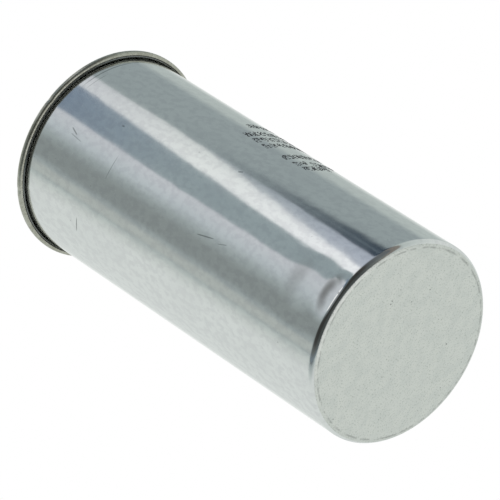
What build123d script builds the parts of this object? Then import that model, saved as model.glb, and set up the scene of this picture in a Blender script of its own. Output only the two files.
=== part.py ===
from build123d import *

import math
import os

# A motor run capacitor: a drawn aluminium can, closed by a tinplate lid that is hemmed round the can's flange,
# with two groups of quick connect blades. Inside are the wound film roll, its contacts and leads, and the disc
# of the pressure interrupter.
#
# The origin is the centre of the base's underside. +Z runs up the can's axis to the lid, and the terminals
# stand on the X axis. All sizes are in millimetres.

# Can
can_diameter = 44.45
can_height = 98.4  # underside of the base to the top of the seam
can_wall = 0.45
can_base = 0.8
base_corner = 1.4  # outside radius between base and wall
flange_width = 0.93  # how far the flange stands out of the wall
flange_bend = 0.45  # radius under the flange

# Lid and seam
lid_thickness = 0.4
lid_recess = 3.2  # depth of the panel below the top of the seam
lid_fit = 0.075  # between the lid's upright wall and the can
hem_fit = 0.045  # between the flange's edge and the hem
hem_clearance = 0.015  # between the flange's bend and the hem's edge
seam_rounding = 0.6
panel_rounding = 0.3  # inside corner between panel and upright wall
sealant_thickness = 0.18

# Roll
core_radius = 4.0
core_wall = 1.0
wrap_thickness = 0.3
wrap_clearance = 0.275  # between the wrap and the insulator
spray_thickness = 0.5

# Insulators and interrupter
insulator_clearance = 0.7  # leaves room behind small dents in the can
insulator_wall = 0.8
insulator_floor = 1.0
insulator_height = 12.0
insulator_chamfer = 1.2  # clears the can's inside corner
rib_height = 1.6  # lifts the roll to leave room for the lower lead
rib_width = 3.2
spacer_clearance = 0.4
spacer_wall = 2.9
spacer_height = 5.5
disc_clearance = 0.3
disc_thickness = 1.6
disc_headroom = 5.2  # between the disc and the lid's panel
disc_hole_radius = 2.0
vent_radius = 1.5
vent_circle = 14.0
vent_count = 3

# Leads
lead_radius = 0.5
lead_bend = 1.5
lead_lift = 0.05  # between a lead and the contact layer that it lies along
lead_rise = 2.2  # how far the lower lead rises out of the roll before it turns
sleeve_clearance = 0.1
sleeve_wall = 0.6
sleeve_start = 2.0  # above the roll's lower face
sleeve_end = 0.5  # above the roll's upper face
solder_radius = 2.0
solder_height = 1.1
solder_rounding = 0.5
lower_solder_place = 8.0
upper_solder_gap = 0.5  # between the upper solder joint and the spacer

# Terminals
terminal_spacing = 19.0
blade_width = 6.35
blade_thickness = 0.8
blade_height = 10.0
blade_count = 4
blade_corner = 1.2
blade_bevel = 0.2
blade_hole_radius = 0.85
blade_hole_drop = 4.2  # below the tip
plate_half_width = 4.0
fold_radius = 0.6
rivet_radius = 1.6
rivet_flange_radius = 2.5
rivet_flange = 0.4
rivet_bore_radius = 1.0
rivet_bore_depth = 3.0
rivet_fit = 0.05
cup_radius = 7.2
cup_wall = 1.0
cup_floor = 1.5
cup_height = 4.2
cup_rounding = 0.4
spigot_radius = 2.9
spigot_fit = 0.1  # between the spigot and the lid's hole
gasket_thickness = 0.8
gasket_radius = 6.2
washer_thickness = 1.2
washer_radius = 5.0

# Radii that follow
can_radius = can_diameter / 2
can_inner = can_radius - can_wall
flange_radius = can_radius + flange_width
flange_outer_bend = flange_bend + can_wall
seam_radius = flange_radius + hem_fit + lid_thickness
hem_radius = can_radius + flange_bend + hem_clearance
lid_wall_radius = can_inner - lid_fit
insulator_radius = can_inner - insulator_clearance
insulator_bore = insulator_radius - insulator_wall
wrap_radius = insulator_bore - wrap_clearance
roll_radius = wrap_radius - wrap_thickness
spacer_radius = can_inner - spacer_clearance
spacer_bore = spacer_radius - spacer_wall
upper_solder_place = spacer_bore - upper_solder_gap - solder_radius
disc_radius = can_inner - disc_clearance
sleeve_bore = lead_radius + sleeve_clearance
rivet_hole = rivet_radius + rivet_fit
lid_hole = spigot_radius + spigot_fit

# Heights that follow
lid_underside = can_height - lid_thickness
flange_top = lid_underside - sealant_thickness
flange_bottom = flange_top - can_wall
hem_bottom = flange_bottom - lid_thickness
panel_top = can_height - lid_recess
panel_bottom = panel_top - lid_thickness
disc_bottom = panel_bottom - disc_headroom - disc_thickness
roll_top = disc_bottom - spacer_height
floor_top = can_base + insulator_floor
roll_bottom = floor_top + rib_height
film_bottom = roll_bottom + spray_thickness
film_top = roll_top - spray_thickness
cup_bottom = panel_top + gasket_thickness
plate_bottom = cup_bottom + cup_floor
plate_top = plate_bottom + blade_thickness
washer_bottom = panel_bottom - washer_thickness
rivet_bottom = washer_bottom - rivet_flange
lower_lead_height = roll_bottom - lead_radius - lead_lift
upper_lead_height = roll_top + lead_radius + lead_lift

terminal_places = {1: -terminal_spacing / 2, 2: terminal_spacing / 2}

os.makedirs("parts", exist_ok=True)


def turned_section(*corners):
    """Fills a section from its corners: distance from the axis, height and rounding."""
    with BuildLine() as outline:
        Polyline([(radius, height) for radius, height, _ in corners], close=True)
    make_face(outline.edges())
    for radius, height, rounding in corners:
        if rounding:
            fillet(vertices().sort_by_distance((radius, height))[0], rounding)


def save(part, name):
    """Labels a finished piece and writes its STEP file."""
    part.label = name
    export_step(part, f"parts/{name}.step")


def ring(outer, inner, bottom, height):
    """Adds a plain ring about the can's axis."""
    with BuildSketch(Plane.XY.offset(bottom)) as section:
        Circle(outer)
        Circle(inner, mode=Mode.SUBTRACT)
    extrude(section.sketch, amount=height)


def wire(*points):
    """Adds a round lead along straight runs joined by bends."""
    with BuildLine() as route:
        FilletPolyline(*points, radius=lead_bend)
    with BuildSketch(Plane(origin=route.line @ 0, z_dir=route.line % 0)) as section:
        Circle(lead_radius)
    sweep(section.sketch, path=route.line)


def solder(centre, bottom, lead, rounded_end):
    """Adds a blob of solder round a lead's foot, rounded at its free end."""
    with BuildSketch(Plane(origin=(centre, 0, bottom))) as section:
        Circle(solder_radius)
    extrude(section.sketch, amount=solder_height)
    fillet(edges().filter_by(GeomType.CIRCLE).sort_by(Axis.Z)[rounded_end], solder_rounding)
    add(lead, mode=Mode.SUBTRACT)


# The can is one deep drawn shell: base, wall and the flange at its mouth.
with BuildPart() as can:
    with BuildSketch(Plane.XZ):
        turned_section(
            (0, 0, 0),
            (can_radius, 0, base_corner),
            (can_radius, flange_bottom, flange_bend),
            (flange_radius, flange_bottom, 0),
            (flange_radius, flange_top, 0),
            (can_inner, flange_top, flange_outer_bend),
            (can_inner, can_base, base_corner - can_wall),
            (0, can_base, 0),
        )
    revolve(axis=Axis.Z)
save(can.part, "can")

# The lid is one pressed sheet: a sunk panel, an upright wall, and a hem folded over and under the flange.
with BuildPart() as lid:
    with BuildSketch(Plane.XZ):
        turned_section(
            (0, panel_bottom, 0),
            (lid_wall_radius, panel_bottom, panel_rounding + lid_thickness),
            (lid_wall_radius, lid_underside, 0),
            (seam_radius - lid_thickness, lid_underside, 0),
            (seam_radius - lid_thickness, flange_bottom, 0),
            (hem_radius, flange_bottom, 0),
            (hem_radius, hem_bottom, 0),
            (seam_radius, hem_bottom, seam_rounding),
            (seam_radius, can_height, seam_rounding),
            (lid_wall_radius - lid_thickness, can_height, lid_thickness),
            (lid_wall_radius - lid_thickness, panel_top, panel_rounding),
            (0, panel_top, 0),
        )
    revolve(axis=Axis.Z)
    with BuildSketch(Plane.XY.offset(panel_bottom)):
        with Locations(*[(place, 0) for place in terminal_places.values()]):
            Circle(lid_hole)
    extrude(amount=lid_thickness, mode=Mode.SUBTRACT)
save(lid.part, "lid")

# Sealing compound lies between the flange and the lid, where both are flat.
with BuildPart() as seam_sealant:
    ring(flange_radius, can_inner + flange_outer_bend, flange_top, sealant_thickness)
save(seam_sealant.part, "seam_sealant")

# The insulator is a moulded cup with a rib that the roll stands on.
with BuildPart() as bottom_insulator:
    with BuildSketch(Plane.XY.offset(can_base)):
        Circle(insulator_radius)
    extrude(amount=insulator_height)
    chamfer(faces().sort_by(Axis.Z)[0].edges(), insulator_chamfer)
    with BuildSketch(Plane.XY.offset(floor_top)):
        Circle(insulator_bore)
    extrude(amount=insulator_height, mode=Mode.SUBTRACT)
    ring(insulator_bore, insulator_bore - rib_width, floor_top, rib_height)
save(bottom_insulator.part, "bottom_insulator")

# The roll: core, film, wrap and the sprayed contact layers on its two faces.
with BuildPart() as winding_core:
    ring(core_radius, core_radius - core_wall, roll_bottom, roll_top - roll_bottom)
save(winding_core.part, "winding_core")

with BuildPart() as film_winding:
    ring(roll_radius, core_radius, film_bottom, film_top - film_bottom)
save(film_winding.part, "film_winding")

with BuildPart() as winding_wrap:
    ring(wrap_radius, roll_radius, roll_bottom, roll_top - roll_bottom)
save(winding_wrap.part, "winding_wrap")

with BuildPart() as lower_end_spray:
    ring(roll_radius, core_radius, roll_bottom, spray_thickness)
save(lower_end_spray.part, "lower_end_spray")

with BuildPart() as upper_end_spray:
    ring(roll_radius, core_radius, film_top, spray_thickness)
save(upper_end_spray.part, "upper_end_spray")

# The lower lead starts on the roll's lower face, rises through the core and ends on the first rivet.
with BuildPart() as lower_lead:
    wire(
        (lower_solder_place + lead_radius, 0, lower_lead_height),
        (0, 0, lower_lead_height),
        (0, 0, roll_top + lead_rise),
        (terminal_places[1], 0, roll_top + lead_rise),
        (terminal_places[1], 0, rivet_bottom),
    )
save(lower_lead.part, "lower_lead")

with BuildPart() as lower_lead_sleeve:
    sleeve_length = roll_top + sleeve_end - roll_bottom - sleeve_start
    ring(sleeve_bore + sleeve_wall, sleeve_bore, roll_bottom + sleeve_start, sleeve_length)
save(lower_lead_sleeve.part, "lower_lead_sleeve")

with BuildPart() as upper_lead:
    wire(
        (upper_solder_place + lead_radius, 0, upper_lead_height),
        (terminal_places[2], 0, upper_lead_height),
        (terminal_places[2], 0, rivet_bottom),
    )
save(upper_lead.part, "upper_lead")

with BuildPart() as lower_solder_joint:
    solder(lower_solder_place, roll_bottom - solder_height, lower_lead.part, 0)
save(lower_solder_joint.part, "lower_solder_joint")

with BuildPart() as upper_solder_joint:
    solder(upper_solder_place, roll_top, upper_lead.part, -1)
save(upper_solder_joint.part, "upper_solder_joint")

# A ring on the roll carries the interrupter disc, which the leads pass through.
with BuildPart() as top_spacer:
    ring(spacer_radius, spacer_bore, roll_top, spacer_height)
save(top_spacer.part, "top_spacer")

with BuildPart() as interrupter_disc:
    with BuildSketch(Plane.XY.offset(disc_bottom)):
        Circle(disc_radius)
        with Locations(*[(place, 0) for place in terminal_places.values()]):
            Circle(disc_hole_radius, mode=Mode.SUBTRACT)
        with PolarLocations(vent_circle, vent_count, start_angle=90):
            Circle(vent_radius, mode=Mode.SUBTRACT)
    extrude(amount=disc_thickness)
save(interrupter_disc.part, "interrupter_disc")

# Each terminal is a stack held by one rivet: washer, lid, gasket, cup and the plate with its blades.
for number, place in terminal_places.items():
    with BuildPart() as inner_washer:
        with BuildSketch(Plane(origin=(place, 0, washer_bottom))):
            Circle(washer_radius)
            Circle(rivet_hole, mode=Mode.SUBTRACT)
        extrude(amount=washer_thickness)
    save(inner_washer.part, f"inner_washer_{number}")

    with BuildPart() as terminal_gasket:
        with BuildSketch(Plane(origin=(place, 0, panel_top))):
            Circle(gasket_radius)
            Circle(lid_hole, mode=Mode.SUBTRACT)
        extrude(amount=gasket_thickness)
    save(terminal_gasket.part, f"terminal_gasket_{number}")

    with BuildPart() as terminal_cup:
        with BuildSketch(Plane(origin=(place, 0, cup_bottom))):
            Circle(cup_radius)
        extrude(amount=cup_height)
        fillet(edges().group_by(Axis.Z)[-1], cup_rounding)
        with BuildSketch(Plane(origin=(place, 0, plate_bottom))):
            Circle(cup_radius - cup_wall)
        extrude(amount=cup_height, mode=Mode.SUBTRACT)
        with BuildSketch(Plane(origin=(place, 0, panel_bottom))):
            Circle(spigot_radius)
        extrude(amount=cup_bottom - panel_bottom)
        with BuildSketch(Plane(origin=(place, 0, panel_bottom))):
            Circle(rivet_hole)
        extrude(amount=cup_height, mode=Mode.SUBTRACT)
    save(terminal_cup.part, f"terminal_cup_{number}")

    with BuildPart() as terminal:
        with BuildSketch(Plane(origin=(place, 0, plate_bottom))):
            Rectangle(2 * plate_half_width, blade_width)
            Rectangle(blade_width, 2 * plate_half_width)
        extrude(amount=blade_thickness)
        for turn in range(blade_count):
            angle = math.tau * turn / blade_count
            outward = Vector(math.cos(angle), math.sin(angle))
            along = Vector(-math.sin(angle), math.cos(angle))
            foot = Vector(place, 0, plate_bottom) + outward * plate_half_width
            with BuildSketch(Plane(origin=foot, x_dir=along, z_dir=outward)):
                with Locations((0, blade_height / 2)):
                    Rectangle(blade_width, blade_height)
                chamfer(vertices().group_by(Axis.Y)[-1], blade_corner)
                with Locations((0, blade_height - blade_hole_drop)):
                    Circle(blade_hole_radius, mode=Mode.SUBTRACT)
            extrude(amount=-blade_thickness)
        fold_edges = edges().filter_by(GeomType.LINE).group_by(Axis.Z)[0].group_by(Edge.length)[-1]
        fillet(fold_edges, fold_radius)
        chamfer(faces().group_by(Axis.Z)[-1].edges(), blade_bevel)
        with BuildSketch(Plane(origin=(place, 0, plate_bottom))):
            Circle(rivet_hole)
        extrude(amount=blade_thickness, mode=Mode.SUBTRACT)
    save(terminal.part, f"terminal_{number}")

    with BuildPart() as rivet:
        with BuildSketch(Plane(origin=(place, 0, rivet_bottom))):
            Circle(rivet_flange_radius)
        extrude(amount=rivet_flange)
        with BuildSketch(Plane(origin=(place, 0, washer_bottom))):
            Circle(rivet_radius)
        extrude(amount=plate_top - washer_bottom)
        with BuildSketch(Plane(origin=(place, 0, plate_top))):
            Circle(rivet_flange_radius)
        extrude(amount=rivet_flange)
        with BuildSketch(Plane(origin=(place, 0, plate_top + rivet_flange))):
            Circle(rivet_bore_radius)
        extrude(amount=-rivet_bore_depth, mode=Mode.SUBTRACT)
    save(rivet.part, f"rivet_{number}")
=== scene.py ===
"""Looks of a round motor run capacitor: drawn aluminium can, hemmed tinplate lid and blade terminals.

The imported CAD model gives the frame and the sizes. Each visible sub-assembly is a class that makes its own
meshes and dresses them. The stage gives the pale floor, the screen that the metal reflects, the light and
the camera. Lengths are in metres, angles in degrees, and an angle round the can is 0 at the front (-Y) and
grows towards +X.
"""

import logging
import math
from collections.abc import Sequence
from dataclasses import dataclass
from enum import Enum

import bmesh
import bpy
import numpy as np
from mathutils import Matrix, Vector


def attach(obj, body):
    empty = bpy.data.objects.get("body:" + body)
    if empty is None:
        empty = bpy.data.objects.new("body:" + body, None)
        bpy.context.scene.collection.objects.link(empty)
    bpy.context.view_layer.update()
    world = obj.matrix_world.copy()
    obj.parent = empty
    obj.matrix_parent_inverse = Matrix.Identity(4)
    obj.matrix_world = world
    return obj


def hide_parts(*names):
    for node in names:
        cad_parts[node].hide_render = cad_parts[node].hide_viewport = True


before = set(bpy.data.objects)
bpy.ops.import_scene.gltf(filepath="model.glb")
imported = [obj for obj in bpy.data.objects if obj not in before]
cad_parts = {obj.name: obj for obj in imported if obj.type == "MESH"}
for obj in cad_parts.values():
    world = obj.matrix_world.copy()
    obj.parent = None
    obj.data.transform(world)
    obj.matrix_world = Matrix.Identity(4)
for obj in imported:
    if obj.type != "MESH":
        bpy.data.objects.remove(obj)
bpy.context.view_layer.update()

log = logging.getLogger("capacitor")

MM = 0.001
ROOT = "root"

Colour = tuple[float, float, float]
Point = tuple[float, float]
Socket = bpy.types.NodeSocket


def paint(red: float, green: float, blue: float) -> Colour:
    """Turns a colour as a screen shows it, each part from 0 to 255, into the linear colour a shader takes.

    Args:
        red: Red part.
        green: Green part.
        blue: Blue part.

    Returns:
        The linear colour.
    """
    parts = [value / 255 for value in (red, green, blue)]
    return tuple(v / 12.92 if v <= 0.04045 else ((v + 0.055) / 1.055) ** 2.4 for v in parts)


class Slot(Enum):
    """Material slots of the record."""

    CAN = "can_aluminium"
    LID = "lid_tinplate"
    SEALANT = "sealant"
    BRASS = "terminal_brass"
    RIVET = "rivet_steel"
    PHENOLIC = "phenolic_black"
    RUBBER = "gasket_rubber"
    INSULATOR = "insulator_plastic"
    CORE = "core_plastic"
    FILM = "film"
    WRAP = "wrap"
    ZINC = "zinc_spray"
    WIRE = "lead_wire"
    SLEEVE = "sleeve_plastic"
    SOLDER = "solder"
    DISC = "disc_phenolic"


# ---------------------------------------------------------------------------------------------------------
# Materials
# ---------------------------------------------------------------------------------------------------------


class Surface:
    """A material being made: one Principled shader, with short calls for the nodes that feed it."""

    def __init__(self, name: str) -> None:
        """Makes the empty material.

        Args:
            name: The material's name.
        """
        self.material = bpy.data.materials.new(name)
        self.material.use_nodes = True
        self.tree = self.material.node_tree
        self.tree.nodes.clear()
        self.shader = self.tree.nodes.new("ShaderNodeBsdfPrincipled")
        self.output = self.tree.nodes.new("ShaderNodeOutputMaterial")
        self.tree.links.new(self.shader.outputs["BSDF"], self.output.inputs["Surface"])
        self.place = self.tree.nodes.new("ShaderNodeTexCoord").outputs["Object"]

    def feed(self, socket: Socket, value: "Socket | float | Sequence[float]") -> None:
        """Gives a socket its value, by a link where the value comes from another node.

        Args:
            socket: The input to set.
            value: A node's output, or a plain number or colour.
        """
        if isinstance(value, bpy.types.NodeSocket):
            self.tree.links.new(value, socket)
        elif isinstance(value, (int, float)):
            socket.default_value = value
        else:
            width = len(socket.default_value)
            socket.default_value = (*value, 1.0)[:width]

    def calculate(self, operation: str, first: "Socket | float", second: "Socket | float" = 0.0) -> Socket:
        """Adds a Math node.

        Args:
            operation: Blender's name for the operation.
            first: First number.
            second: Second number, where the operation takes one.

        Returns:
            The result.
        """
        node = self.tree.nodes.new("ShaderNodeMath")
        node.operation = operation
        self.feed(node.inputs[0], first)
        self.feed(node.inputs[1], second)
        return node.outputs[0]

    def stretched(self, stretch: Sequence[float]) -> Socket:
        """Object coordinates in millimetres, each axis scaled.

        Args:
            stretch: Scale of the X, Y and Z axes.

        Returns:
            The coordinates.
        """
        node = self.tree.nodes.new("ShaderNodeMapping")
        self.feed(node.inputs["Vector"], self.place)
        self.feed(node.inputs["Scale"], [scale / MM for scale in stretch])
        return node.outputs["Vector"]

    def noise(self, size: float, detail: float = 3.0, stretch: Sequence[float] = (1, 1, 1)) -> Socket:
        """Cloudy noise from 0 to 1.

        Args:
            size: Size of the clouds, in millimetres.
            detail: How many finer layers the noise has.
            stretch: Scale of the X, Y and Z axes, where a small number draws the clouds out along that axis.

        Returns:
            The noise.
        """
        node = self.tree.nodes.new("ShaderNodeTexNoise")
        self.feed(node.inputs["Vector"], self.stretched(stretch))
        self.feed(node.inputs["Scale"], 1 / size)
        self.feed(node.inputs["Detail"], detail)
        return node.outputs["Fac"]

    def specks(self, size: float, share: float) -> Socket:
        """Small round spots scattered at random, 1 in a spot and 0 elsewhere.

        Args:
            size: Mean distance between places that may hold a spot, in millimetres.
            share: Radius of a spot, as a share of that distance.

        Returns:
            The mask.
        """
        node = self.tree.nodes.new("ShaderNodeTexVoronoi")
        self.feed(node.inputs["Vector"], self.stretched((1, 1, 1)))
        self.feed(node.inputs["Scale"], 1 / size)
        return self.steps(node.outputs["Distance"], share, share * 0.4)

    def steps(self, value: Socket, start: float, end: float) -> Socket:
        """A smooth step: 0 at start and before it, 1 at end and after it. End may be less than start.

        Args:
            value: The number to map.
            start: Where the result is 0.
            end: Where the result is 1.

        Returns:
            The step, from 0 to 1.
        """
        node = self.tree.nodes.new("ShaderNodeMapRange")
        node.interpolation_type = "SMOOTHSTEP"
        turned = end < start
        self.feed(node.inputs["Value"], value)
        self.feed(node.inputs["From Min"], min(start, end))
        self.feed(node.inputs["From Max"], max(start, end))
        self.feed(node.inputs["To Min"], 1.0 if turned else 0.0)
        self.feed(node.inputs["To Max"], 0.0 if turned else 1.0)
        return node.outputs["Result"]

    def between(self, value: Socket, low: float, high: float) -> Socket:
        """Maps a number from 0 to 1 onto a range.

        Args:
            value: The number to map.
            low: Result at 0.
            high: Result at 1.

        Returns:
            The mapped number.
        """
        return self.calculate("ADD", self.calculate("MULTIPLY", value, high - low), low)

    def blend(self, share: "Socket | float", first: "Socket | Colour", second: "Socket | Colour") -> Socket:
        """Mixes two colours.

        Args:
            share: Share of the second colour.
            first: First colour.
            second: Second colour.

        Returns:
            The mixed colour.
        """
        node = self.tree.nodes.new("ShaderNodeMix")
        node.data_type = "RGBA"
        self.feed(node.inputs["Factor"], share)
        self.feed(node.inputs[6], first)
        self.feed(node.inputs[7], second)
        return node.outputs[2]

    def bump(self, height: Socket, strength: float, distance: float) -> None:
        """Gives the shader a bumpy normal.

        Args:
            height: Height from 0 to 1.
            strength: Strength from 0 to 1.
            distance: Height of the bumps, in metres.
        """
        node = self.tree.nodes.new("ShaderNodeBump")
        self.feed(node.inputs["Height"], height)
        self.feed(node.inputs["Strength"], strength)
        self.feed(node.inputs["Distance"], distance)
        self.feed(self.shader.inputs["Normal"], node.outputs["Normal"])

    def girth_and_height(self, radius: float) -> tuple[Socket, Socket]:
        """Coordinates on a can's wall: distance round the girth from the front, and height, in millimetres.

        Args:
            radius: The can's radius, in metres.

        Returns:
            The two coordinates.
        """
        split = self.tree.nodes.new("ShaderNodeSeparateXYZ")
        self.feed(split.inputs[0], self.place)
        back = self.calculate("MULTIPLY", split.outputs["Y"], -1.0)
        angle = self.calculate("ARCTAN2", split.outputs["X"], back)
        girth = self.calculate("MULTIPLY", angle, radius / MM)
        height = self.calculate("DIVIDE", split.outputs["Z"], MM)
        return girth, height


@dataclass(frozen=True)
class Mark:
    """A small scratch or spot on the can's wall, or a painted dark reflection band.

    Attributes:
        angle: Angle round the can.
        height: Height above the base, in millimetres.
        length: Length, in millimetres.
        width: Width, in millimetres.
        lean: How far its length leans from upright.
        strength: How strongly it shows, from 0 to 1.
    """

    angle: float
    height: float
    length: float
    width: float
    lean: float = 0.0
    strength: float = 0.6

    def mask(self, surface: Surface, girth: Socket, height: Socket, radius: float) -> Socket:
        """The mark's mask on the wall.

        Args:
            surface: The material being made.
            girth: Distance round the wall, in millimetres.
            height: Height, in millimetres.
            radius: The can's radius, in metres.

        Returns:
            The mask, from 0 to the mark's strength.
        """
        across = surface.calculate("SUBTRACT", girth, math.radians(self.angle) * radius / MM)
        along = surface.calculate("SUBTRACT", height, self.height)
        cosine, sine = math.cos(math.radians(self.lean)), math.sin(math.radians(self.lean))
        turned_across = surface.calculate(
            "SUBTRACT",
            surface.calculate("MULTIPLY", across, cosine),
            surface.calculate("MULTIPLY", along, sine),
        )
        turned_along = surface.calculate(
            "ADD", surface.calculate("MULTIPLY", across, sine), surface.calculate("MULTIPLY", along, cosine)
        )
        share_across = surface.calculate("DIVIDE", turned_across, self.width / 2)
        share_along = surface.calculate("DIVIDE", turned_along, self.length / 2)
        squares = surface.calculate(
            "ADD", surface.calculate("POWER", share_across, 2.0), surface.calculate("POWER", share_along, 4.0)
        )
        return surface.calculate("MULTIPLY", surface.steps(squares, 1.3, 0.3), self.strength)


@dataclass(frozen=True)
class BrightAluminium:
    """Drawn aluminium of the can's wall: bright, with faint lines along the draw, haze, small marks, and
    painted shade in the corner under the seam.

    Attributes:
        radius: The can's outside radius, in metres.
        marks: Scratches and spots on the wall, and a painted dark reflection band on the base corner.
        crevice_shade: Height at which painted shade fills the corner under the seam, in millimetres.
        colour: Main colour.
        haze_colour: Colour of the hazy streaks.
        mottle_colour: Colour of the fine mottling.
        mark_and_shade_colour: Colour of marks and specks, of the painted shade under the seam and of the
            painted dark reflection band.
        roughness: Lowest and highest roughness.
    """

    radius: float
    marks: tuple[Mark, ...]
    crevice_shade: float
    colour: Colour = (0.86, 0.875, 0.87)
    haze_colour: Colour = (0.825, 0.84, 0.838)
    mottle_colour: Colour = (0.785, 0.795, 0.80)
    mark_and_shade_colour: Colour = (0.16, 0.17, 0.17)
    roughness: tuple[float, float] = (0.07, 0.17)

    def material(self) -> bpy.types.Material:
        """Makes the material."""
        surface = Surface("bright_aluminium")
        streaks = surface.noise(0.7, 2.0, (1, 1, 0.03))
        haze = surface.noise(6.0, 4.0, (1, 1, 0.45))
        grit = surface.specks(2.6, 0.07)
        rare = surface.steps(surface.noise(5.0, 1.0), 0.55, 0.62)
        darkening = surface.calculate("MULTIPLY", surface.calculate("MULTIPLY", grit, rare), 0.5)
        girth, height = surface.girth_and_height(self.radius)
        # Painted shade: the wall is darkened just under the seam, where the corner lies in shade.
        crevice_shade = surface.steps(height, self.crevice_shade - 0.45, self.crevice_shade - 0.05)
        darkening = surface.calculate("MAXIMUM", darkening, surface.calculate("MULTIPLY", crevice_shade, 0.9))
        for mark in self.marks:
            darkening = surface.calculate("MAXIMUM", darkening, mark.mask(surface, girth, height, self.radius))
        mottle = surface.noise(1.3, 8.0, (1, 1, 0.7))
        clouded = surface.blend(surface.steps(haze, 0.42, 0.72), self.colour, self.haze_colour)
        clean = surface.blend(surface.steps(mottle, 0.42, 0.62), clouded, self.mottle_colour)
        surface.feed(surface.shader.inputs["Base Color"], surface.blend(darkening, clean, self.mark_and_shade_colour))
        surface.feed(surface.shader.inputs["Metallic"], 1.0)
        wear = surface.calculate("MULTIPLY", surface.calculate("ADD", streaks, haze), 0.5)
        surface.feed(surface.shader.inputs["Roughness"], surface.between(wear, *self.roughness))
        waves = surface.noise(4.5, 2.0, (1, 1, 0.4))
        ripple = surface.calculate("ADD", surface.calculate("MULTIPLY", streaks, 0.05), waves)
        relief = surface.calculate("ADD", ripple, surface.calculate("MULTIPLY", mottle, 0.05))
        surface.bump(relief, 1.0, 0.035 * MM)
        return surface.material


@dataclass(frozen=True)
class SatinAluminium:
    """The can's base: satin aluminium with a fine grain, cloudy patches, pits and a worn line near its edge.

    Attributes:
        edge_radius: Radius of the worn line, in millimetres.
        colour: Main colour.
        cloud_colour: Colour of the cloudy patches.
        speckle_colour: Colour of the grain's speckles.
        pit_colour: Colour of the pits and the worn line.
        roughness: Lowest and highest roughness.
    """

    edge_radius: float = 20.9
    colour: Colour = (0.76, 0.78, 0.745)
    cloud_colour: Colour = (0.71, 0.735, 0.705)
    speckle_colour: Colour = paint(182, 188, 180)
    pit_colour: Colour = (0.22, 0.23, 0.22)
    roughness: tuple[float, float] = (0.34, 0.52)

    def material(self) -> bpy.types.Material:
        """Makes the material."""
        surface = Surface("satin_aluminium")
        clouds = surface.noise(2.6, 7.0, (0.8, 1.2, 1))
        grain = surface.noise(0.35, 3.0)
        pits = surface.calculate(
            "MULTIPLY", surface.specks(1.9, 0.12), surface.steps(surface.noise(3.5, 2.0), 0.53, 0.62)
        )
        clean = surface.blend(surface.steps(clouds, 0.38, 0.66), self.colour, self.cloud_colour)
        speckled = surface.blend(surface.steps(grain, 0.5, 0.8), clean, self.speckle_colour)
        split = surface.tree.nodes.new("ShaderNodeSeparateXYZ")
        surface.feed(split.inputs[0], surface.place)
        squares = [surface.calculate("POWER", split.outputs[axis], 2.0) for axis in ("X", "Y")]
        distance = surface.calculate("SQRT", surface.calculate("ADD", *squares))
        past_line = surface.calculate("SUBTRACT", distance, self.edge_radius * MM)
        off_line = surface.calculate("ABSOLUTE", past_line)
        worn = surface.steps(surface.noise(2.0, 3.0), 0.40, 0.60)
        line = surface.calculate("MULTIPLY", surface.steps(off_line, 0.32 * MM, 0.04 * MM), worn)
        darkening = surface.calculate("MAXIMUM", pits, surface.calculate("MULTIPLY", line, 0.45))
        surface.feed(surface.shader.inputs["Base Color"], surface.blend(darkening, speckled, self.pit_colour))
        surface.feed(surface.shader.inputs["Metallic"], 1.0)
        surface.feed(surface.shader.inputs["Roughness"], surface.between(grain, *self.roughness))
        surface.bump(grain, 0.3, 0.012 * MM)
        return surface.material


@dataclass(frozen=True)
class Mottled:
    """A finish with one main colour and cloudy patches of a second one.

    Attributes:
        name: The material's name.
        colour: Main colour.
        patches: Colour of the patches.
        metallic: 1 for bare metal, 0 for plastic and rubber.
        roughness: Lowest and highest roughness.
        patch_size: Size of the patches, in millimetres.
        grain_size: Size of the fine grain, in millimetres.
        grain_height: Height of the fine grain, in millimetres.
        stretch: Scale of the three axes for the grain, so that it can run along one of them.
    """

    name: str
    colour: Colour
    patches: Colour
    metallic: float
    roughness: tuple[float, float]
    patch_size: float = 3.0
    grain_size: float = 0.3
    grain_height: float = 0.02
    stretch: tuple[float, float, float] = (1, 1, 1)

    def material(self) -> bpy.types.Material:
        """Makes the material."""
        surface = Surface(self.name)
        patches = surface.noise(self.patch_size, 4.0)
        grain = surface.noise(self.grain_size, 3.0, self.stretch)
        worn = surface.calculate("MULTIPLY", surface.calculate("ADD", patches, grain), 0.5)
        colour = surface.blend(surface.steps(worn, 0.36, 0.64), self.colour, self.patches)
        surface.feed(surface.shader.inputs["Base Color"], colour)
        surface.feed(surface.shader.inputs["Metallic"], self.metallic)
        surface.feed(surface.shader.inputs["Roughness"], surface.between(worn, *self.roughness))
        surface.bump(grain, 0.4, self.grain_height * MM)
        return surface.material


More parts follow.
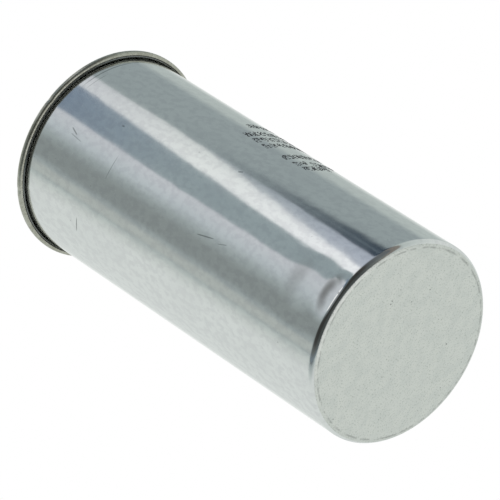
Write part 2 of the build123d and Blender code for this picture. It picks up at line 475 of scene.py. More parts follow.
FINISHES: dict[Slot, Mottled] = {
    Slot.LID: Mottled(
        "dull_tinplate", paint(198, 198, 187), paint(168, 167, 154), 1.0, (0.22, 0.34), 2.4, 0.4, 0.003
    ),
    Slot.SEALANT: Mottled("seam_sealant", paint(150, 120, 86), paint(126, 98, 70), 0.0, (0.5, 0.7)),
    Slot.BRASS: Mottled(
        "tinned_brass", paint(224, 224, 216), paint(204, 202, 190), 1.0, (0.2, 0.34), 2.2, 0.3, 0.004
    ),
    Slot.RIVET: Mottled(
        "plated_steel", paint(196, 198, 198), paint(160, 162, 164), 1.0, (0.25, 0.4), 1.0, 0.2
    ),
    Slot.PHENOLIC: Mottled(
        "black_phenolic", paint(34, 33, 33), paint(48, 46, 45), 0.0, (0.32, 0.5), 2.5, 0.3
    ),
    Slot.RUBBER: Mottled("gasket_rubber", paint(28, 28, 29), paint(40, 40, 40), 0.0, (0.6, 0.8), 2.0, 0.25),
    Slot.INSULATOR: Mottled(
        "natural_plastic", paint(216, 213, 202), paint(205, 201, 188), 0.0, (0.4, 0.5), 5.0
    ),
    Slot.CORE: Mottled("core_plastic", paint(60, 88, 120), paint(52, 78, 108), 0.0, (0.4, 0.55), 4.0),
    Slot.FILM: Mottled("wound_film", paint(196, 200, 202), paint(170, 176, 182), 0.7, (0.2, 0.35), 6.0, 0.15),
    Slot.WRAP: Mottled("clear_wrap", paint(222, 214, 190), paint(208, 198, 172), 0.0, (0.15, 0.3), 6.0, 0.4),
    Slot.ZINC: Mottled(
        "sprayed_zinc", paint(150, 152, 154), paint(120, 122, 126), 0.8, (0.6, 0.85), 1.2, 0.3, 0.12
    ),
    Slot.WIRE: Mottled("tinned_wire", paint(200, 200, 196), paint(176, 176, 172), 1.0, (0.25, 0.4), 1.0, 0.2),
    Slot.SLEEVE: Mottled("sleeve_plastic", paint(196, 60, 48), paint(176, 52, 42), 0.0, (0.35, 0.5), 2.0),
    Slot.SOLDER: Mottled("solder", paint(176, 178, 180), paint(146, 148, 152), 1.0, (0.25, 0.5), 0.8, 0.2),
    Slot.DISC: Mottled("brown_laminate", paint(126, 76, 46), paint(104, 60, 36), 0.0, (0.45, 0.6), 2.0, 0.3),
}

# Painted shade: a dark finish for the hem's underside next to the wall, which lies in shade there.
HEM_SHADE = Mottled("painted_hem_shade", paint(58, 58, 52), paint(40, 40, 36), 0.3, (0.5, 0.7), 2.0, 0.5, 0.002)
INK = Mottled("print_ink", paint(26, 26, 32), paint(58, 60, 68), 0.0, (0.45, 0.7), 0.5, 0.1)

DRESSED_NODES: dict[str, Slot] = {
    "seam_sealant": Slot.SEALANT,
    "bottom_insulator": Slot.INSULATOR,
    "winding_core": Slot.CORE,
    "film_winding": Slot.FILM,
    "winding_wrap": Slot.WRAP,
    "lower_end_spray": Slot.ZINC,
    "upper_end_spray": Slot.ZINC,
    "lower_lead": Slot.WIRE,
    "upper_lead": Slot.WIRE,
    "lower_lead_sleeve": Slot.SLEEVE,
    "lower_solder_joint": Slot.SOLDER,
    "upper_solder_joint": Slot.SOLDER,
    "top_spacer": Slot.INSULATOR,
    "interrupter_disc": Slot.DISC,
    "inner_washer_1": Slot.PHENOLIC,
    "inner_washer_2": Slot.PHENOLIC,
    "terminal_1": Slot.BRASS,
    "terminal_2": Slot.BRASS,
    "terminal_cup_1": Slot.PHENOLIC,
    "terminal_cup_2": Slot.PHENOLIC,
    "terminal_gasket_1": Slot.RUBBER,
    "terminal_gasket_2": Slot.RUBBER,
    "rivet_1": Slot.RIVET,
    "rivet_2": Slot.RIVET,
}


# ---------------------------------------------------------------------------------------------------------
# Shapes
# ---------------------------------------------------------------------------------------------------------


@dataclass(frozen=True)
class Corner:
    """A corner of a turned piece's section.

    Attributes:
        radius: Distance from the axis, in millimetres.
        height: Height, in millimetres.
        rounding: Radius that the corner is rounded with, in millimetres.
    """

    radius: float
    height: float
    rounding: float = 0.0


def rounded(corners: Sequence[Corner], steps: int = 6) -> list[Point]:
    """Rounds the corners of a section that starts and ends on the axis, or runs round in a ring.

    Beside each arc goes one more point, which keeps the straight runs flat when the piece is shaded smooth.

    Args:
        corners: The section's corners, in order. A ring's last corner repeats its first.
        steps: Straight steps in each arc.

    Returns:
        The section's points in millimetres, as distance from the axis and height.
    """
    points: list[Point] = []
    for index, corner in enumerate(corners):
        here = np.array((corner.radius, corner.height))
        if corner.rounding == 0 or index in (0, len(corners) - 1):
            points.append(tuple(here))
            continue
        before = np.array((corners[index - 1].radius, corners[index - 1].height)) - here
        after = np.array((corners[index + 1].radius, corners[index + 1].height)) - here
        room = (np.linalg.norm(before), np.linalg.norm(after))
        before, after = before / room[0], after / room[1]
        half = math.acos(float(np.clip(before @ after, -1, 1))) / 2
        reach = corner.rounding / math.tan(half)
        centre = here + (before + after) / np.linalg.norm(before + after) * corner.rounding / math.sin(half)
        start, end = here + before * reach, here + after * reach
        hold = min(0.15 * corner.rounding, 0.1 * min(room))
        points.append(tuple(start + before * hold))
        for step in range(steps + 1):
            share = step / steps
            turn = (math.pi - 2 * half) * share
            first = (start - centre) / corner.rounding
            second = (end - centre) / corner.rounding
            spread = math.pi - 2 * half
            mix = (first * math.sin(spread - turn) + second * math.sin(turn)) / math.sin(spread)
            points.append(tuple(centre + mix * corner.rounding))
        points.append(tuple(end + after * hold))
    return points


def closer_rows(points: Sequence[Point], low: float, high: float, pitch: float) -> list[Point]:
    """Divides the upright runs of a section between two heights.

    Args:
        points: The section's points, in millimetres.
        low: Lowest height of the divided part.
        high: Highest height of the divided part.
        pitch: Distance between the new rows.

    Returns:
        The points with the new ones between them.
    """
    result = [points[0]]
    for before, after in zip(points, points[1:]):
        start, end = max(before[1], low), min(after[1], high)
        if before[0] == after[0] and end - start > pitch:
            count = round((end - start) / pitch)
            result += [(before[0], start + (end - start) * step / count) for step in range(count + 1)]
        result.append(after)
    return [p for p, q in zip(result, result[1:] + [(-1.0, -1.0)]) if math.dist(p, q) > 1e-6]


class NodeTree:
    """A Geometry Nodes tree being made, with short calls for its nodes and its named inputs."""

    def __init__(self, name: str) -> None:
        """Makes a tree that takes and gives a mesh.

        Args:
            name: The tree's name.
        """
        self.tree = bpy.data.node_groups.new(name, "GeometryNodeTree")
        self.tree.is_modifier = True
        self.tree.interface.new_socket("Mesh", in_out="INPUT", socket_type="NodeSocketGeometry")
        self.tree.interface.new_socket("Mesh", in_out="OUTPUT", socket_type="NodeSocketGeometry")
        self.given = self.tree.nodes.new("NodeGroupInput")
        self.result = self.tree.nodes.new("NodeGroupOutput")

    def input(self, name: str, kind: str) -> Socket:
        """Adds a named input.

        Args:
            name: The input's name.
            kind: Float, Int, Vector or Material.

        Returns:
            The input's socket inside the tree.
        """
        self.tree.interface.new_socket(name, in_out="INPUT", socket_type=f"NodeSocket{kind}")
        return self.given.outputs[name]

    def node(
        self, kind: str, inputs: "dict[str | int, object] | None" = None, **settings: object
    ) -> bpy.types.Node:
        """Adds a node.

        Args:
            kind: Blender's name for the node.
            inputs: Values or links for its inputs.
            settings: Its other settings.

        Returns:
            The node.
        """
        made = self.tree.nodes.new(kind)
        for name, value in settings.items():
            setattr(made, name, value)
        for name, value in (inputs or {}).items():
            if isinstance(value, bpy.types.NodeSocket):
                self.tree.links.new(value, made.inputs[name])
            else:
                made.inputs[name].default_value = value
        return made

    def calculate(self, operation: str, first: object, second: object = 0.0) -> Socket:
        """Adds a Math node and returns its result."""
        return self.node("ShaderNodeMath", {0: first, 1: second}, operation=operation).outputs[0]

    def finish(self, mesh: Socket, finish: Socket) -> None:
        """Ends the tree: realizes instances and gives the result its material.

        Args:
            mesh: The tree's geometry.
            finish: The material input.
        """
        real = self.node("GeometryNodeRealizeInstances", {"Geometry": mesh})
        dressed = self.node("GeometryNodeSetMaterial", {"Geometry": real.outputs[0], "Material": finish})
        self.tree.links.new(dressed.outputs[0], self.result.inputs[0])

    def apply(self, base: bpy.types.Mesh, name: str, values: dict[str, object]) -> bpy.types.Object:
        """Runs the tree on a mesh.

        Args:
            base: The mesh that the tree starts from.
            name: Name of the piece.
            values: Value of each named input.

        Returns:
            The piece, a plain mesh at the origin.
        """
        source = bpy.data.objects.new(name + "_source", base)
        bpy.context.scene.collection.objects.link(source)
        modifier = source.modifiers.new("Shape", "NODES")
        modifier.node_group = self.tree
        sockets = {
            item.name: item.identifier
            for item in self.tree.interface.items_tree
            if item.in_out == "INPUT"
        }
        for label, value in values.items():
            modifier[sockets[label]] = value
        bpy.context.view_layer.update()
        graph = bpy.context.evaluated_depsgraph_get()
        mesh = bpy.data.meshes.new_from_object(source.evaluated_get(graph), depsgraph=graph)
        bpy.data.objects.remove(source)
        mesh.name = name
        mesh.materials.clear()
        mesh.materials.append(values["Finish"])
        mesh.polygons.foreach_set("material_index", [0] * len(mesh.polygons))
        piece = bpy.data.objects.new(name, mesh)
        bpy.context.scene.collection.objects.link(piece)
        return piece


def turning_tree() -> NodeTree:
    """Makes the tree that turns a section round the Z axis.

    Its mesh holds the section's points in order, and its inputs are Segments, Centre and Finish.

    Returns:
        The tree.
    """
    tree = NodeTree("Turned piece")
    segments = tree.input("Segments", "Int")
    centre = tree.input("Centre", "Vector")
    finish = tree.input("Finish", "Material")
    section = tree.given.outputs["Mesh"]
    count = tree.node("GeometryNodeAttributeDomainSize", {"Geometry": section}).outputs["Point Count"]
    grid = tree.node(
        "GeometryNodeMeshGrid",
        {"Vertices X": tree.calculate("ADD", segments, 1.0), "Vertices Y": count},
    )
    index = tree.node("GeometryNodeInputIndex").outputs[0]
    column = tree.calculate("FLOOR", tree.calculate("DIVIDE", tree.calculate("ADD", index, 0.5), count))
    row = tree.calculate("SUBTRACT", index, tree.calculate("MULTIPLY", column, count))
    sample = tree.node(
        "GeometryNodeSampleIndex",
        {"Geometry": section, "Index": row},
        data_type="FLOAT_VECTOR",
    )
    tree.tree.links.new(tree.node("GeometryNodeInputPosition").outputs[0], sample.inputs["Value"])
    split = tree.node("ShaderNodeSeparateXYZ", {0: sample.outputs[0]})
    angle = tree.calculate("MULTIPLY", tree.calculate("DIVIDE", column, segments), math.tau)
    across = tree.calculate("MULTIPLY", split.outputs["X"], tree.calculate("SINE", angle))
    inwards = tree.calculate("MULTIPLY", split.outputs["X"], tree.calculate("COSINE", angle))
    place = tree.node(
        "ShaderNodeCombineXYZ",
        {"X": across, "Y": tree.calculate("MULTIPLY", inwards, -1.0), "Z": split.outputs["Z"]},
    )
    moved = tree.node("ShaderNodeVectorMath", {0: place.outputs[0], 1: centre}, operation="ADD")
    shaped = tree.node("GeometryNodeSetPosition", {"Geometry": grid.outputs[0], "Position": moved.outputs[0]})
    joined = tree.node("GeometryNodeMergeByDistance", {"Geometry": shaped.outputs[0], "Distance": 1e-7})
    smooth = tree.node("GeometryNodeSetShadeSmooth", {"Geometry": joined.outputs[0]})
    tree.finish(smooth.outputs[0], finish)
    return tree


def print_tree() -> NodeTree:
    """Makes the tree that prints clusters of ink dots on a can's wall.

    Its mesh holds one point for each cluster, with X the distance round the wall from the front and Z the
    height. Its inputs are Can radius, Dot pitch, Dot radius, Ink thickness, Filled share, Seed and Finish.

    Returns:
        The tree.
    """
    tree = NodeTree("Printed dots")
    radius = tree.input("Can radius", "Float")
    pitch = tree.input("Dot pitch", "Float")
    dot = tree.input("Dot radius", "Float")
    thickness = tree.input("Ink thickness", "Float")
    filled = tree.input("Filled share", "Float")
    seed = tree.input("Seed", "Int")
    finish = tree.input("Finish", "Material")
    cell = tree.node(
        "GeometryNodeMeshGrid",
        {
            "Size X": tree.calculate("MULTIPLY", pitch, 4.0),
            "Size Y": tree.calculate("MULTIPLY", pitch, 6.0),
            "Vertices X": 5,
            "Vertices Y": 7,
        },
    )
    upright = tree.node(
        "GeometryNodeTransform", {"Geometry": cell.outputs[0], "Rotation": (math.pi / 2, 0, 0)}
    )
    cells = tree.node(
        "GeometryNodeInstanceOnPoints", {"Points": tree.given.outputs["Mesh"], "Instance": upright.outputs[0]}
    )
    flat = tree.node("GeometryNodeRealizeInstances", {"Geometry": cells.outputs[0]})
    points = tree.node("GeometryNodeMeshToPoints", {"Mesh": flat.outputs[0]})
    chance = tree.node("FunctionNodeRandomValue", {"Seed": seed}, data_type="FLOAT")
    index = tree.node("GeometryNodeInputIndex").outputs[0]
    tree.tree.links.new(index, chance.inputs["ID"])
    empty = tree.calculate("GREATER_THAN", chance.outputs[1], filled)
    kept = tree.node("GeometryNodeDeleteGeometry", {"Geometry": points.outputs[0], "Selection": empty})
    place = tree.node("ShaderNodeSeparateXYZ", {0: tree.node("GeometryNodeInputPosition").outputs[0]})
    angle = tree.calculate("DIVIDE", place.outputs["X"], radius)
    sine, cosine = tree.calculate("SINE", angle), tree.calculate("COSINE", angle)
    wrapped = tree.node(
        "ShaderNodeCombineXYZ",
        {
            "X": tree.calculate("MULTIPLY", sine, radius),
            "Y": tree.calculate("MULTIPLY", tree.calculate("MULTIPLY", cosine, radius), -1.0),
            "Z": place.outputs["Z"],
        },
    )
    on_wall = tree.node(
        "GeometryNodeSetPosition", {"Geometry": kept.outputs[0], "Position": wrapped.outputs[0]}
    )
    spot = tree.node(
        "GeometryNodeMeshCylinder",
        {"Vertices": 8, "Radius": dot, "Depth": thickness},
        fill_type="NGON",
    )
    here = tree.node("ShaderNodeSeparateXYZ", {0: tree.node("GeometryNodeInputPosition").outputs[0]})
    outwards = tree.node("ShaderNodeCombineXYZ", {"X": here.outputs["X"], "Y": here.outputs["Y"], "Z": 0.0})
    facing = tree.node("FunctionNodeAlignRotationToVector", {"Vector": outwards.outputs[0]}, axis="Z")
    dots = tree.node(
        "GeometryNodeInstanceOnPoints",
        {"Points": on_wall.outputs[0], "Instance": spot.outputs[0], "Rotation": facing.outputs[0]},
    )
    tree.finish(dots.outputs[0], finish)
    return tree


def mesh_of_points(name: str, points: Sequence[Sequence[float]]) -> bpy.types.Mesh:
    """Makes a mesh of loose points, for a tree to start from.

    Args:
        name: The mesh's name.
        points: The points, in metres.

    Returns:
        The mesh.
    """
    mesh = bpy.data.meshes.new(name)
    mesh.from_pydata([tuple(point) for point in points], [], [])
    return mesh


def turned(
    tree: NodeTree, name: str, section: Sequence[Point], segments: int, finish: bpy.types.Material
) -> bpy.types.Object:
    """Turns a section round the can's axis and makes its faces point outwards.

    Args:
        tree: The turning tree.
        name: Name of the piece.
        section: The section's points, in millimetres.
        segments: Steps round the axis.
        finish: The piece's material.

    Returns:
        The piece.
    """
    base = mesh_of_points(name + "_section", [(radius * MM, 0.0, height * MM) for radius, height in section])
    values = {"Segments": segments, "Centre": (0.0, 0.0, 0.0), "Finish": finish}
    piece = tree.apply(base, name, values)
    point_outwards(piece.data)
    return piece


def point_outwards(mesh: bpy.types.Mesh) -> None:
    """Makes the faces of a closed mesh point outwards.

    Args:
        mesh: The mesh to change.
    """
    work = bmesh.new()
    work.from_mesh(mesh)
    bmesh.ops.recalc_face_normals(work, faces=work.faces)
    work.to_mesh(mesh)
    work.free()


def coordinates(mesh: bpy.types.Mesh) -> np.ndarray:
    """The mesh's points as an array with a row for each."""
    flat = np.empty(len(mesh.vertices) * 3)
    mesh.vertices.foreach_get("co", flat)
    return flat.reshape(-1, 3)


def place_points(mesh: bpy.types.Mesh, points: np.ndarray) -> None:
    """Moves the mesh's points to new places."""
    mesh.vertices.foreach_set("co", points.ravel())
    mesh.update()


# ---------------------------------------------------------------------------------------------------------
# Can
# ---------------------------------------------------------------------------------------------------------


@dataclass(frozen=True)
class Knock:
    """A place where the can's wall was pressed in.

    Attributes:
        angle: Angle round the can of its middle.
        height: Height of its middle, in millimetres.
        half_length: Half its length, in millimetres.
        half_width: Half its width, in millimetres.
        lean: How far its length leans from level, anticlockwise seen from outside.
        depth: How deep it is, in millimetres. Less than 0 stands proud.
        edge: How abrupt its edge is: 2 is soft, and more is sharper.
    """

    angle: float
    height: float
    half_length: float
    half_width: float
    lean: float
    depth: float
    edge: float = 2.0

    def push(self, girth: np.ndarray, height: np.ndarray, radius: float) -> np.ndarray:
        """How far each point is pressed in.

        Args:
            girth: Distance of each point round the wall, in millimetres.
            height: Height of each point, in millimetres.
            radius: The can's radius, in millimetres.

        Returns:
            The depth at each point, in millimetres.
        """
        across = girth - math.radians(self.angle) * radius
        along = height - self.height
        cosine, sine = math.cos(math.radians(self.lean)), math.sin(math.radians(self.lean))
        share_long = (across * cosine + along * sine) / self.half_length
        share_wide = (along * cosine - across * sine) / self.half_width
        return self.depth * np.exp(-((share_long**2 + share_wide**2) ** (self.edge / 2)))


@dataclass
class Can:
    """The drawn can: wall, base and the flange that the lid is hemmed over.

    Attributes:
        radius: Outside radius, in millimetres.
        wall: Thickness of the wall.
        base: Thickness of the base.
        base_corner: Outside radius between base and wall.
        flange_radius: Radius of the flange.
        flange_bottom: Height of the flange's underside.
        flange_top: Height of the flange's top.
        flange_bend: Radius under the flange.
        segments: Steps round the can.
        dent_top: Height up to which the wall has close rows.
        row_pitch: Distance between the close rows.
        satin_slope: How far down a face looks, from 0 to 1, where the base's satin finish starts.
        knocks: The dents.
        marks: The small marks on the wall, and a painted dark reflection band on the base corner.
    """

    radius: float = 22.225
    wall: float = 0.45
    base: float = 0.8
    base_corner: float = 1.4
    flange_radius: float = 23.155
    flange_bottom: float = 97.37
    flange_top: float = 97.82
    flange_bend: float = 0.45
    segments: int = 448
    dent_top: float = 17.0
    row_pitch: float = 0.3
    satin_slope: float = 0.8
    knocks: tuple[Knock, ...] = (
        Knock(-1.5, 9.6, 5.6, 4.4, 0.0, 0.33, 2.4),
        Knock(1.4, 2.1, 4.2, 3.0, 3.0, 0.42, 3.2),
        Knock(10.6, 4.0, 2.4, 0.45, 58.0, -0.02, 2.0),
        Knock(2.6, 7.2, 0.5, 1.2, 0.0, 0.014, 2.0),
    )
    marks: tuple[Mark, ...] = (
        Mark(-8.4, 39.8, 5.2, 0.3, -12.0, 0.6),
        Mark(-7.2, 34.6, 2.6, 0.25, -18.0, 0.4),
        Mark(-5.0, 72.7, 0.24, 5.8, 0.0, 0.4),
        Mark(-2.0, 86.0, 4.0, 0.3, 6.0, 0.35),
        Mark(43.0, 94.7, 0.32, 15.0, 0.0, 0.6),
        Mark(31.5, 93.4, 0.2, 6.0, 0.0, 0.4),
        Mark(-45.5, 78.7, 0.30, 3.5, 4.0, 0.75),
        Mark(0.5, 87.4, 2.6, 0.35, 20.0, 0.6),
        Mark(17.0, 77.2, 0.8, 0.35, 0.0, 0.6),
        Mark(31.2, 44.2, 1.2, 0.45, -30.0, 0.6),
        Mark(4.6, 1.6, 0.35, 0.5, 0.0, 0.8),
        # Painted dark reflection: a dark band along the front of the base corner, where the corner reflects
        # dark surroundings.
        Mark(-0.5, 0.72, 1.5, 23.0, 0.0, 0.75),
    )

    def section(self) -> list[Point]:
        """The can's section, from the middle of the underside round to the middle of the inside."""
        inside = self.radius - self.wall
        corners = [
            Corner(0.0, 0.0),
            Corner(1.0, 0.0),
            Corner(self.radius, 0.0, self.base_corner),
            Corner(self.radius, self.flange_bottom, self.flange_bend),
            Corner(self.flange_radius, self.flange_bottom, 0.08),
            Corner(self.flange_radius, self.flange_top, 0.08),
            Corner(inside, self.flange_top, self.flange_bend + 0.3),
            Corner(inside, self.base, self.base_corner - self.base),
            Corner(1.0, self.base),
            Corner(0.0, self.base),
        ]
        return closer_rows(rounded(corners, 8), self.base_corner, self.dent_top, self.row_pitch)

    def press(self, mesh: bpy.types.Mesh) -> None:
        """Presses the dents into the wall's outside.

        Args:
            mesh: The can's mesh.
        """
        points = coordinates(mesh)
        distance = np.hypot(points[:, 0], points[:, 1])
        girth = np.arctan2(points[:, 0], -points[:, 1]) * self.radius
        height = points[:, 2] / MM
        outside = distance > (self.radius - self.wall / 2) * MM
        push = sum(knock.push(girth, height, self.radius) for knock in self.knocks)
        fade = np.clip((height - 0.5) / 1.6, 0, 1)
        eased = push * fade * fade * (3 - 2 * fade)
        shrink = 1 - np.where(outside, eased, 0) * MM / np.maximum(distance, 1e-9)
        points[:, 0] *= shrink
        points[:, 1] *= shrink
        place_points(mesh, points)

    def build(self, tree: NodeTree) -> bpy.types.Object:
        """Makes the can.

        Args:
            tree: The turning tree.

        Returns:
            The finished piece.
        """
        wall = BrightAluminium(self.radius * MM, self.marks, self.flange_bottom - 0.4).material()
        piece = turned(tree, "can_shell", self.section(), self.segments, wall)
        self.press(piece.data)
        piece.data.materials.append(SatinAluminium().material())
        for face in piece.data.polygons:
            low = face.center.z < self.base_corner * MM and face.normal.z < -self.satin_slope
            face.material_index = int(low)
        return piece


@dataclass
class WallPrint:
    """Rows of dots printed on the can's wall, in clusters that stand for no letters.

    Attributes:
        can_radius: Radius of the wall, in millimetres.
        rows: Each row's height, the angle where it starts and how many clusters it has.
        cell_pitch: Distance between clusters.
        dot_pitch: Distance between dots.
        dot_radius: Radius of a dot.
        thickness: How far the ink stands out, both ways from the wall.
        seed: Seed of the random choice of dots.
    """

    can_radius: float = 22.225
    rows: tuple[tuple[float, float, int], ...] = (
        (59.6, 66.0, 7),
        (55.3, 56.2, 9),
        (52.2, 56.2, 10),
        (49.1, 56.2, 8),
        (43.1, 56.6, 6),
        (39.6, 57.5, 2),
        (39.2, 67.5, 4),
        (36.9, 58.5, 4),
    )
    cell_pitch: float = 1.8
    dot_pitch: float = 0.29
    dot_radius: float = 0.17
    thickness: float = 0.03
    seed: int = 11

    def build(self, tree: NodeTree) -> bpy.types.Object:
        """Makes the print.

        Args:
            tree: The tree that prints dots.

        Returns:
            The finished piece.
        """
        middles = [
            ((math.radians(start) * self.can_radius + self.cell_pitch * (cell + 0.5)) * MM, 0.0, height * MM)
            for height, start, count in self.rows
            for cell in range(count)
        ]
        values = {
            "Can radius": self.can_radius * MM,
            "Dot pitch": self.dot_pitch * MM,
            "Dot radius": self.dot_radius * MM,
            "Ink thickness": self.thickness * MM,
            "Filled share": 0.5,
            "Seed": self.seed,
            "Finish": INK.material(),
        }
        return tree.apply(mesh_of_points("print_cells", middles), "wall_print", values)


# ---------------------------------------------------------------------------------------------------------
# Lid
# ---------------------------------------------------------------------------------------------------------


@dataclass
class Lid:
    """The tinplate lid: sunk panel, upright wall and the seam hemmed under the can's flange.

    Attributes:
        thickness: Thickness of the tinplate, in millimetres.
        seam_radius: Outside radius of the seam.
        seam_top: Height of the seam's top.
        hem_bottom: Height of the hem's underside.
        hem_radius: Radius at which the hem ends.
        wall_radius: Outside radius of the upright wall.
        panel_bottom: Height of the panel's underside.
        seam_rounding: Radius of the seam's outer corners.
        terminal_place: Distance of each terminal from the axis.
        hole_radius: Radius of the two holes for the terminals.
        segments: Steps round the lid.
        nicks: Small dents in the seam's rim.
    """

    thickness: float = 0.4
    seam_radius: float = 23.6
    seam_top: float = 98.4
    hem_bottom: float = 96.97
    hem_radius: float = 22.69
    wall_radius: float = 21.7
    panel_bottom: float = 94.8
    seam_rounding: float = 0.6
    terminal_place: float = 9.5
    hole_radius: float = 3.0
    segments: int = 448
    nicks: tuple[Knock, ...] = (
        Knock(6.9, 97.6, 0.7, 1.2, 0.0, 0.16, 2.0),
        Knock(-45.0, 97.4, 0.5, 1.0, 0.0, 0.12, 2.0),
    )

    def section(self) -> list[Point]:
        """The lid's section, from the middle of the panel's top, over the seam and back under the panel."""
        panel_top = self.panel_bottom + self.thickness
        inner = self.wall_radius - self.thickness
        skirt = self.seam_radius - self.thickness
        hem_top = self.hem_bottom + self.thickness
        corners = [
            Corner(0.0, panel_top),
            Corner(1.0, panel_top),
            Corner(inner, panel_top, 0.3),
            Corner(inner, self.seam_top, 0.5),
            Corner(self.seam_radius, self.seam_top, self.seam_rounding),
            Corner(self.seam_radius, self.hem_bottom, self.seam_rounding),
            Corner(self.hem_radius, self.hem_bottom, 0.12),
            Corner(self.hem_radius, hem_top, 0.12),
            Corner(skirt, hem_top, 0.2),
            Corner(skirt, self.seam_top - self.thickness, 0.2),
            Corner(self.wall_radius, self.seam_top - self.thickness, 0.1),
            Corner(self.wall_radius, self.panel_bottom, 0.35),
            Corner(1.0, self.panel_bottom),
            Corner(0.0, self.panel_bottom),
        ]
        return rounded(corners, 6)

    def press(self, mesh: bpy.types.Mesh) -> None:
        """Presses the nicks into the seam's rim.

        Args:
            mesh: The lid's mesh.
        """
        points = coordinates(mesh)
        distance = np.hypot(points[:, 0], points[:, 1])
        girth = np.arctan2(points[:, 0], -points[:, 1]) * self.seam_radius
        push = sum(nick.push(girth, points[:, 2] / MM, self.seam_radius) for nick in self.nicks)
        rim = distance > (self.seam_radius - 0.75) * MM
        shrink = 1 - np.where(rim, push, 0) * MM / np.maximum(distance, 1e-9)
        points[:, 0] *= shrink
        points[:, 1] *= shrink
        place_points(mesh, points)

    def cut_holes(self, piece: bpy.types.Object) -> bpy.types.Object:
        """Cuts the two terminal holes through the panel.

        Args:
            piece: The lid without its holes.

        Returns:
            The lid with them.
        """
        cutters = bmesh.new()
        for side in (-1, 1):
            place = Matrix.Translation((side * self.terminal_place * MM, 0, (self.panel_bottom + 0.2) * MM))
            bmesh.ops.create_cone(
                cutters,
                cap_ends=True,
                segments=48,
                radius1=self.hole_radius * MM,
                radius2=self.hole_radius * MM,
                depth=2 * MM,
                matrix=place,
            )
        mesh = bpy.data.meshes.new("hole_cutters")
        cutters.to_mesh(mesh)
        cutters.free()
        cutter = bpy.data.objects.new("hole_cutters", mesh)
        bpy.context.scene.collection.objects.link(cutter)
        modifier = piece.modifiers.new("Holes", "BOOLEAN")
        modifier.object = cutter
        modifier.solver = "EXACT"
        bpy.context.view_layer.update()
        graph = bpy.context.evaluated_depsgraph_get()
        result = bpy.data.meshes.new_from_object(piece.evaluated_get(graph), depsgraph=graph)
        piece.modifiers.clear()
        piece.data = result
        bpy.data.objects.remove(cutter)
        return piece

    def build(self, tree: NodeTree, finish: bpy.types.Material) -> bpy.types.Object:
        """Makes the lid.

        Args:
            tree: The turning tree.
            finish: The tinplate.

        Returns:
            The finished piece.
        """
        piece = turned(tree, "lid_and_seam", self.section(), self.segments, finish)
        # Painted shade on the hem's underside next to the wall: a second, dark material.
        piece.data.materials.append(HEM_SHADE.material())
        for face in piece.data.polygons:
            under = face.normal.z < -0.7 and face.center.z < (self.hem_bottom + 0.1) * MM
            inner = math.hypot(face.center.x, face.center.y) < (self.hem_radius + 0.22) * MM
            face.material_index = int(under and inner)
        self.press(piece.data)
        return self.cut_holes(piece)


# ---------------------------------------------------------------------------------------------------------
# Stage
# ---------------------------------------------------------------------------------------------------------


class Tone(Enum):
    """Brightness of the reflection screen's strips, as the can's wall shows them."""

    SNOW = (232, 235, 237)
    WHITE = (221, 226, 223)
    PALE = (203, 209, 206)
    CLOUD = (190, 197, 193)
    LILAC = (190, 194, 198)
    HAZE = (176, 185, 188)
    MIST = (170, 180, 177)
    SAGE = (167, 174, 170)
    STEEL = (148, 158, 158)
    GREY = (141, 152, 153)
    SHADE = (129, 137, 136)
    SLATE = (138, 151, 154)
    BLUE = (164, 172, 184)
    INDIGO = (114, 129, 146)
    DUSK = (112, 126, 134)
    IRON = (104, 110, 108)
    NAVY = (24, 42, 60)
    DARK = (92, 97, 99)
    TAUPE = (120, 116, 110)
    SOOT = (84, 85, 82)


@dataclass(frozen=True)
class Strip:
    """One edge of the reflection screen's strips, where its tone is set.

    The screen is laid out by where the can's wall shows it, at the wall's base, middle and rim.

    Attributes:
        angles: Angles round the can at the base, middle and rim.
        tones: Tones there.
        foot: Tone well below, which the base's corner and lower dents show.
    """

    angles: tuple[float, float, float]
    tones: tuple[Tone, Tone, Tone]
    foot: Tone = Tone.PALE


def strip(base: float, middle: float, rim: float, *tones: Tone, foot: Tone = Tone.PALE) -> Strip:
    """Short form of Strip. One tone stands for all three heights.

    Args:
        base: Angle at the base.
        middle: Angle at the middle.
        rim: Angle at the rim.
        tones: One tone, or three.
        foot: Tone well below.

    Returns:
        The strip's edge.
    """
    three = tones if len(tones) == 3 else (tones[0],) * 3
    return Strip((base, middle, rim), three, foot)


